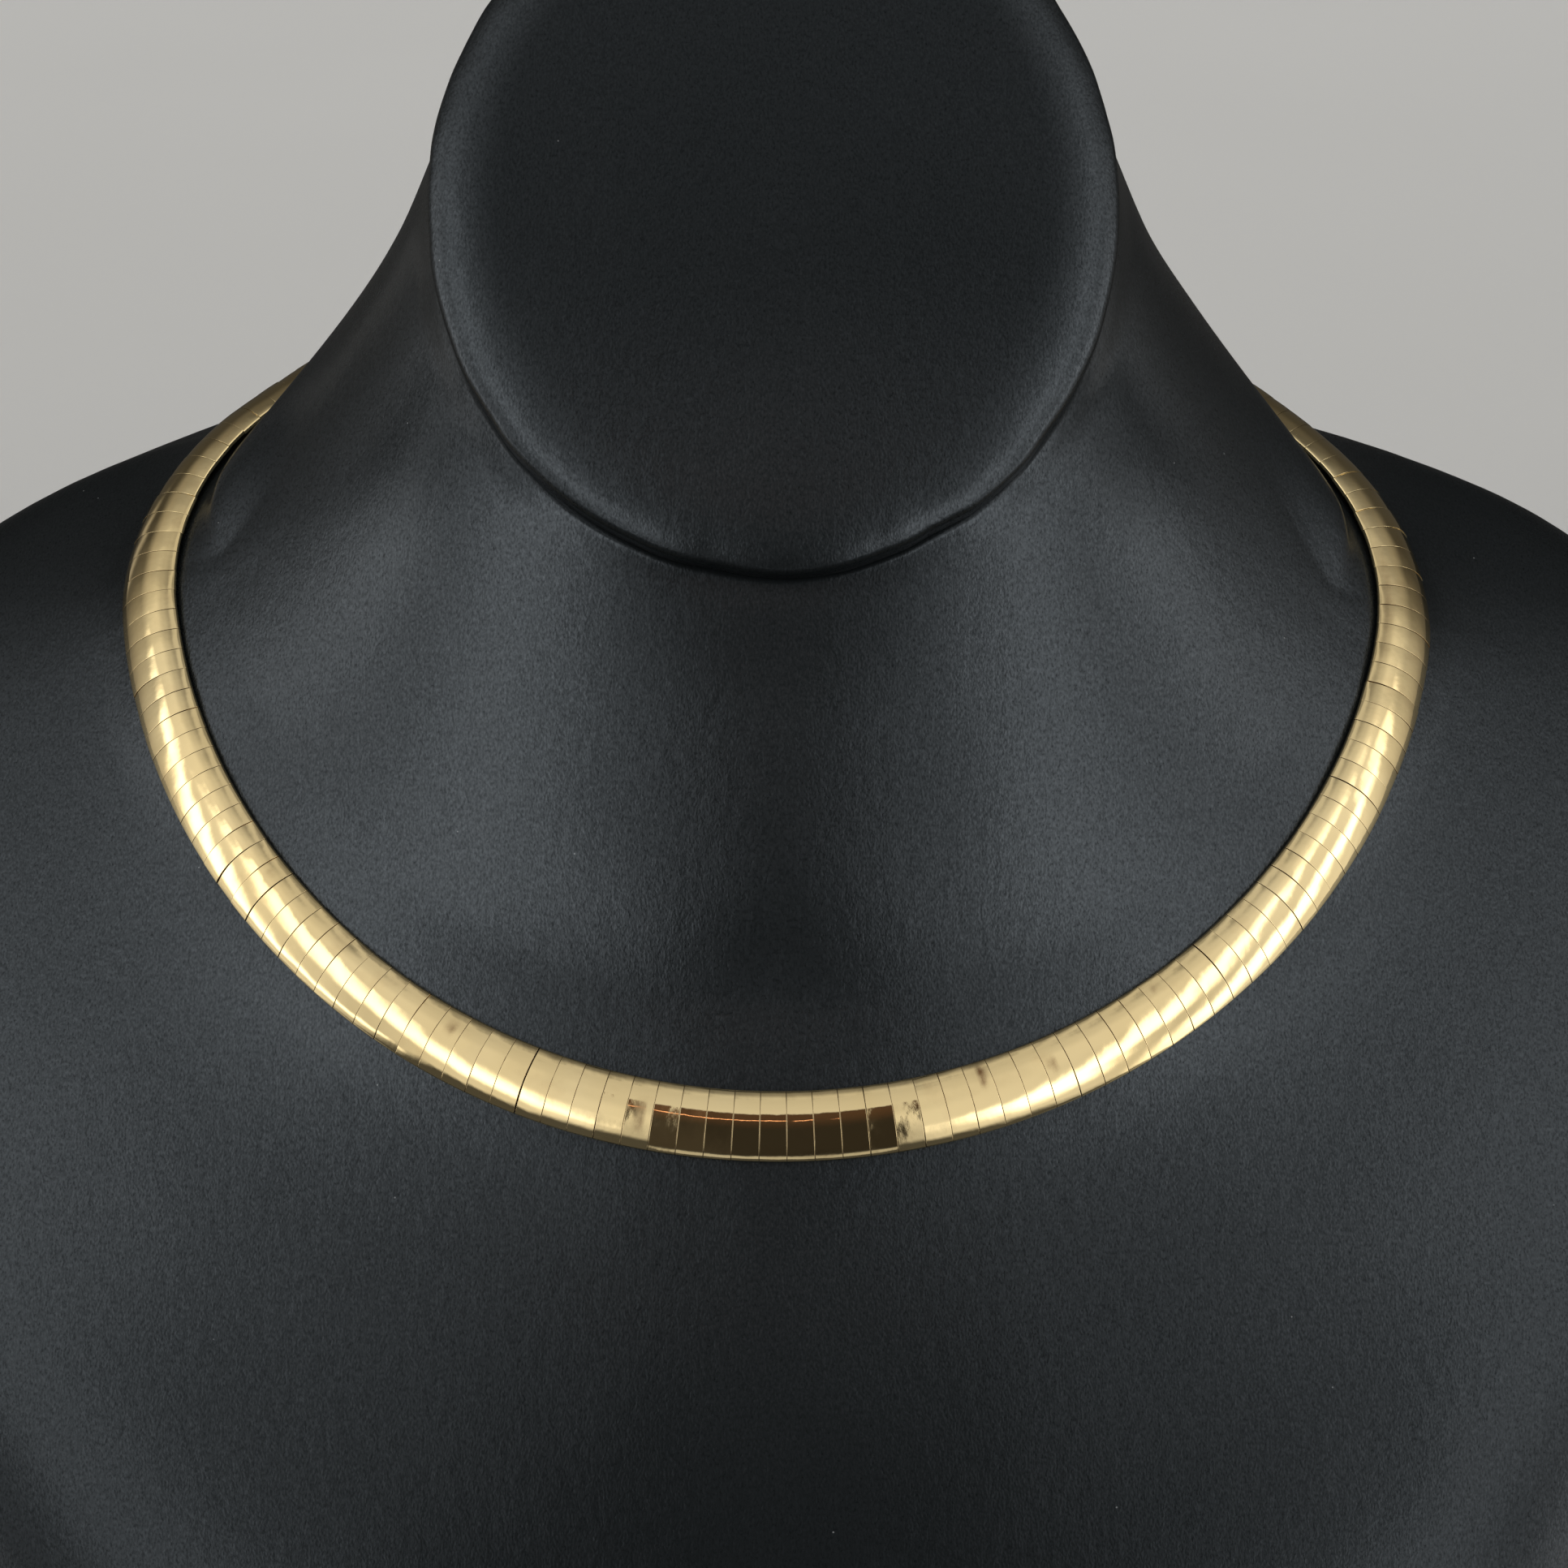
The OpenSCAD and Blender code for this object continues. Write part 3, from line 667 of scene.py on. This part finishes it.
# ---------------------------------------------------------------- oval top panel
rings = []
for ins in (30, 16, 8, 3):
    rings.append(panel_ring(float(ins), np.zeros(AROUND)))
for q in np.radians(np.linspace(0, 90, 7)):
    rings.append(panel_ring(0.9 - 0.9 * math.sin(q), np.full(AROUND, 0.9 - 0.9 * math.cos(q)), math.sin(q)))
for q in np.radians(np.linspace(90, 36, 13)):
    rings.append(panel_ring(PANEL_ROLL * (1 - math.sin(q)), np.full(AROUND, PANEL_WALL + PANEL_ROLL * math.cos(q)), 1.0))
face_in, face_slope = np.array(PANEL_FACE).T
stops = np.concatenate([np.linspace(0.58, 3.1, 12)[1:], np.linspace(3.1, 10, 15)[1:], np.linspace(10, 38, 19)[1:]])
rise, last = PANEL_WALL + PANEL_ROLL * math.cos(math.radians(36)), 0.58
for ins in stops:
    rise += (ins - last) * math.tan(math.radians(np.interp((ins + last) / 2, face_in, face_slope)))
    last = ins
    rings.append(panel_ring(float(ins), np.full(AROUND, rise), float(1 - smooth(ins, 1.5, 9.0))))
G = np.array(rings)
V = np.concatenate([G.reshape(-1, 3), G[0].mean(0)[None], G[-1].mean(0)[None]])
rows = len(G)
F = grid_quads(rows, AROUND, True)
caps = []
for r, c, flip in ((0, rows * AROUND, True), (rows - 1, rows * AROUND + 1, False)):
    a = r * AROUND + np.arange(AROUND)
    b = r * AROUND + (np.arange(AROUND) + 1) % AROUND
    tri = np.stack([a, b, np.full(AROUND, c), np.full(AROUND, -1)], -1)
    if flip:
        tri = tri[:, [1, 0, 2, 3]]
    caps.append(tri)
# its sheen: painted shade in the groove under the rim, and painted shade over the middle towards the back
up_panel = (G - PMID) @ PUP + PANEL_LEN / 2
centre_shade = 0.92 - 0.50 * smooth(up_panel, 6, 42)
inward = np.array([9.0] * 4 + [0.0] * 20 + [float(x) for x in stops])
painted_shade = 1 + (centre_shade - 1) * smooth(inward, 2.6, 9.0)[:, None]
painted_shade[:24] *= np.concatenate([[0.1] * 11, 0.12 + 0.88 * np.linspace(0, 1, 13) ** 1.5])[:, None]
panel = new_mesh("vis_bust_top_panel", V, np.concatenate([F] + caps), SHADED_PANEL_LEATHER, node="bust_top_panel",
                 attr={"painted_shade": np.concatenate([painted_shade.ravel(), [0.1, 0.45]])})

# ---------------------------------------------------------------- floor and lights
bpy.ops.mesh.primitive_plane_add(size=6.0, location=(0, 0, 0))
floor = bpy.context.object
floor.name = "floor"
fm = Nodes("pale_floor")
fobj = fm.n("ShaderNodeTexCoord").outputs["Object"]
fn = fm.n("ShaderNodeTexNoise", inputs={"Vector": fobj, "Scale": 3.0, "Detail": 3.0}).outputs[0]
fm.link(fm.mix(fn, (0.60, 0.60, 0.59), (0.66, 0.66, 0.65)), "Base Color")
fm.b.inputs["Roughness"].default_value = 0.7
floor.data.materials.append(fm.mat)
floor.visible_glossy = False


# A light tent: pale overhead and at the sides, one lamp behind each side wall, which the cloth
# spreads into two slanted streaks, and a dark slot in front for the camera.
world = bpy.data.worlds.new("light_tent")
bpy.context.scene.world = world
world.use_nodes = True
world.cycles.sampling_method = "NONE"
w = Tree(world.node_tree)
wout = w.n("ShaderNodeOutputWorld")
wbg = w.n("ShaderNodeBackground")
w.t.links.new(wbg.outputs[0], wout.inputs[0])
wd = w.n("ShaderNodeSeparateXYZ", inputs={0: w.n("ShaderNodeTexCoord").outputs["Generated"]})
DEG = 57.29578
AZ = w.math("MULTIPLY", w.math("ARCTAN2", wd.outputs[0], w.math("MULTIPLY", wd.outputs[1], -1.0)), DEG)
EL = w.math("MULTIPLY", w.math("ARCSINE", wd.outputs[2]), DEG)
AABS = w.math("ABSOLUTE", AZ)
RIGHT = w.math("GREATER_THAN", AZ, 0.0)


def table(x, stops):
    """Piecewise linear function of x from a few [x, value] stops."""
    lo, hi = stops[0][0], stops[-1][0]
    least, most = min(v for _, v in stops), max(v for _, v in stops)
    fac = w.math("DIVIDE", w.math("SUBTRACT", x, lo), hi - lo, clamp=True)
    r = w.ramp(fac, [((a - lo) / (hi - lo), ((v - least) / (most - least),) * 3) for a, v in stops])
    return w.math("MULTIPLY_ADD", r, most - least, least)


def bell(x, centre, width, power=2.0):
    """1 at the centre and near 0 past the width; a higher power has a flatter top."""
    d = w.math("ABSOLUTE", w.math("DIVIDE", w.math("SUBTRACT", x, centre), width))
    return w.math("POWER", 2.71828, w.math("MULTIPLY", w.math("POWER", d, power), -1.0))


def step(x, edge, soft):
    u = w.math("DIVIDE", w.math("SUBTRACT", x, w.math("SUBTRACT", edge, soft)), 2 * soft, clamp=True)
    return w.math("MULTIPLY", w.math("MULTIPLY", u, u), w.math("MULTIPLY_ADD", u, -2.0, 3.0))


def lerp(a, b, fac):
    return w.math("ADD", w.math("MULTIPLY", a, w.math("SUBTRACT", 1.0, fac)), w.math("MULTIPLY", b, fac))


def either(right, left):
    return lerp(left, right, RIGHT)


# brightness of the cloth by how far round from the front (0 front, 180 behind), low, half-way and high
turned = w.math("ADD", w.math("MINIMUM", w.math("MAXIMUM", EL, -25.0), 32.0), 5.0)
far_low = w.math("ADD", AABS, w.math("MULTIPLY", turned, 0.30))
base_low = table(far_low, [(14, .50), (18, .54), (24, .80), (40, .76), (58, .64), (75, .82), (92, .84), (100, .62), (108, .42), (116, .24), (124, .12), (134, .06), (180, .05)])
base_mid = either(table(AABS, [(14, .66), (30, .76), (50, .78), (72, .86), (85, .76), (95, .50), (105, .32), (115, .24), (134, .10), (180, .05)]),
                  table(AABS, [(14, .66), (30, .76), (50, .78), (72, .86), (88, .76), (100, .50), (112, .34), (128, .22), (140, .12), (180, .06)]))
base_high = table(AABS, [(0, .62), (60, .66), (85, .52), (100, .40), (110, .32), (135, .24), (160, .10), (172, .22), (180, .26)])
base_top = table(AABS, [(0, .60), (40, .60), (80, .38), (120, .25), (150, .36), (166, .56), (180, .60)])
base = lerp(base_low, base_mid, step(EL, 40.0, 10.0))
base = lerp(base, base_high, step(EL, 68.0, 7.0))
base = lerp(base, base_top, step(EL, 79.0, 5.0))
base = lerp(base, 0.58, step(EL, 85.5, 2.5))
# two slanted streaks on each side, where a lamp stands behind the cloth: [height, value] for the
# place round from the front, the half width and the strength
STREAKS = [
    ["inner right", [(-24, 38), (-14, 38), (-4, 36.5), (5, 35), (15, 43), (24, 47), (33, 48.5), (44, 53), (52, 60), (60, 66)],
     [(-20, 6), (-14, 8), (-4, 10), (15, 10), (24, 9), (33, 8), (44, 8), (52, 11), (60, 9)],
     [(-22, 0), (-16, .4), (-11, 1.3), (-4, 2.0), (24, 1.9), (44, 1.6), (52, 1.1), (62, .1), (68, 0)]],
    ["inner left", [(-16, 27), (-4, 28), (6, 33), (16, 39), (25, 47), (34, 51), (45, 56), (53, 60), (62, 64)],
     [(-14, 5), (-4, 7), (6, 9), (16, 13), (25, 14), (34, 12), (45, 13), (53, 6), (62, 4)],
     [(-16, 0), (-8, .25), (-2, 1.2), (6, 1.8), (25, 1.7), (45, 1.4), (54, 1.1), (60, 0)]],
    ["outer right", [(-28, 68), (-8, 68), (-1, 71), (7, 72), (15, 77), (24, 80), (31, 83), (41, 82)],
     [(-28, 8), (-8, 8.5), (-1, 8.5), (15, 8), (31, 6), (41, 6)],
     [(-34, 0), (-28, .9), (-16, 1.8), (-1, 2.0), (15, 2.0), (24, 1.6), (31, 1.0), (41, .9), (48, 0)]],
    ["outer left", [(-20, 63), (-16, 67), (-12, 77), (-5, 84), (17, 83), (25, 84.5), (32, 86), (42, 86)],
     [(-20, 6), (-16, 8), (-12, 10), (-5, 10), (2, 9), (17, 7), (32, 6), (42, 5)],
     [(-22, 0), (-17, 1.5), (-5, 2.0), (17, 1.8), (32, 1.6), (42, 1.0), (48, 0)]],
]
light = base
for k in (0, 2):
    place, width, strength = (either(table(EL, STREAKS[k][c]), table(EL, STREAKS[k + 1][c])) for c in (1, 2, 3))
    light = w.math("ADD", light, w.math("MULTIPLY", strength, bell(AABS, place, width, 3.0)))
# the walls' lower edge, and a last narrow streak far round on the left
edge = either(table(AABS, [(15, -17), (21, -24), (36, -27), (48, -30), (64, -32), (80, -33), (92, -33), (104, -27), (120, -18)]),
              table(AABS, [(14, -15), (24, -17), (38, -20), (48, -12), (56, -18), (64, -24), (80, -29), (92, -32), (104, -28), (120, -20)]))
u = w.math("DIVIDE", w.math("ADD", w.math("SUBTRACT", EL, edge), 5.0), 10.0, clamp=True)
over = w.math("MULTIPLY", w.math("MULTIPLY", u, u), w.math("MULTIPLY_ADD", u, -2.0, 3.0))
light = lerp(0.075, light, over)
third = w.math("MULTIPLY", bell(AABS, table(EL, [(-10, 138), (0, 133), (20, 131)]), 4.0), w.math("MULTIPLY", step(EL, -11.0, 4.0), w.math("SUBTRACT", 1.0, step(EL, 20.0, 6.0))))
light = w.math("ADD", light, w.math("MULTIPLY", w.math("MULTIPLY", third, 0.26), w.math("SUBTRACT", 1.0, RIGHT)))
table_top = w.math("MULTIPLY", w.math("MULTIPLY", step(EL, -37.5, 1.2), w.math("SUBTRACT", 1.0, step(EL, -28.5, 1.5))), w.math("SUBTRACT", 1.0, step(AABS, 19.0, 2.0)))
light = w.math("MAXIMUM", light, w.math("MULTIPLY", table_top, 0.46))
lit = w.n("ShaderNodeVectorMath", operation="SCALE", inputs={0: (1.0, 0.985, 0.955), 3: light}).outputs[0]
rear = w.math("MULTIPLY", step(AABS, 106.0, 14.0), w.math("SUBTRACT", 1.0, step(EL, 56.0, 8.0)))
lit = w.mix(w.math("MULTIPLY", rear, 0.3), lit, w.n("ShaderNodeVectorMath", operation="SCALE", inputs={0: (1.12, 0.98, 0.80), 3: light}).outputs[0])
# the camera's slot between two edges of cloth, with one thin copper glint high in it
side = either(table(EL, [(-26, 18.7), (-14, 17.6), (-4, 16.6), (15, 14.7), (35, 13.3), (60, 12.3)]),
              table(EL, [(-26, 19), (-13, 17), (-3, 16), (16, 13.6), (36, 12.6), (60, 11)]))
u = w.math("DIVIDE", w.math("ADD", w.math("SUBTRACT", AABS, side), 0.6), 1.2, clamp=True)
slot = w.math("MULTIPLY", w.math("SUBTRACT", 1.0, u), w.math("MULTIPLY", step(EL, -26.5, 1.2), w.math("SUBTRACT", 1.0, step(EL, 61.0, 1.6))))
leftness = w.math("SUBTRACT", 1.0, step(AZ, -8.0, 4.0))
dark = w.mix(step(EL, 42.0, 14.0), (0.030, 0.026, 0.022), (0.080, 0.048, 0.034))
dark = w.n("ShaderNodeVectorMath", operation="SCALE", inputs={0: dark, 3: w.math("MULTIPLY_ADD", leftness, 0.7, 1.0)}).outputs[0]
glint = w.math("MULTIPLY", bell(EL, 47.3, 0.55), w.math("SUBTRACT", 1.0, step(AZ, 4.5, 1.0)))
dark = w.mix(glint, dark, (1.9, 0.95, 0.62))
col = w.mix(slot, lit, dark)
seen = w.n("ShaderNodeLightPath").outputs["Is Camera Ray"]
col = w.mix(seen, col, (0.55, 0.55, 0.545))
w.t.links.new(col, wbg.inputs[0])
wbg.inputs[1].default_value = 1.0


def area(name, loc, target, size, power, color=(1, 1, 1)):
    """A soft lamp that lights the bust and the floor; the gold mirrors the tent alone."""
    d = bpy.data.lights.new(name, "AREA")
    d.shape = "RECTANGLE"
    d.size, d.size_y = size
    d.energy = power
    d.color = color
    o = bpy.data.objects.new(name, d)
    z = Vector(loc) - Vector(target)
    o.matrix_world = Matrix.Translation(loc) @ z.to_track_quat("Z", "Y").to_matrix().to_4x4()
    bpy.context.scene.collection.objects.link(o)
    o.visible_camera = False
    o.visible_glossy = False
    return o


area("soft_behind", (0, 1.6, 1.5), (0, 1.3, 0), (3.0, 1.6), 11.0)

sc = bpy.context.scene
sc.view_settings.view_transform = "Standard"
sc.view_settings.look = "None"
sc.view_settings.exposure = 0.0
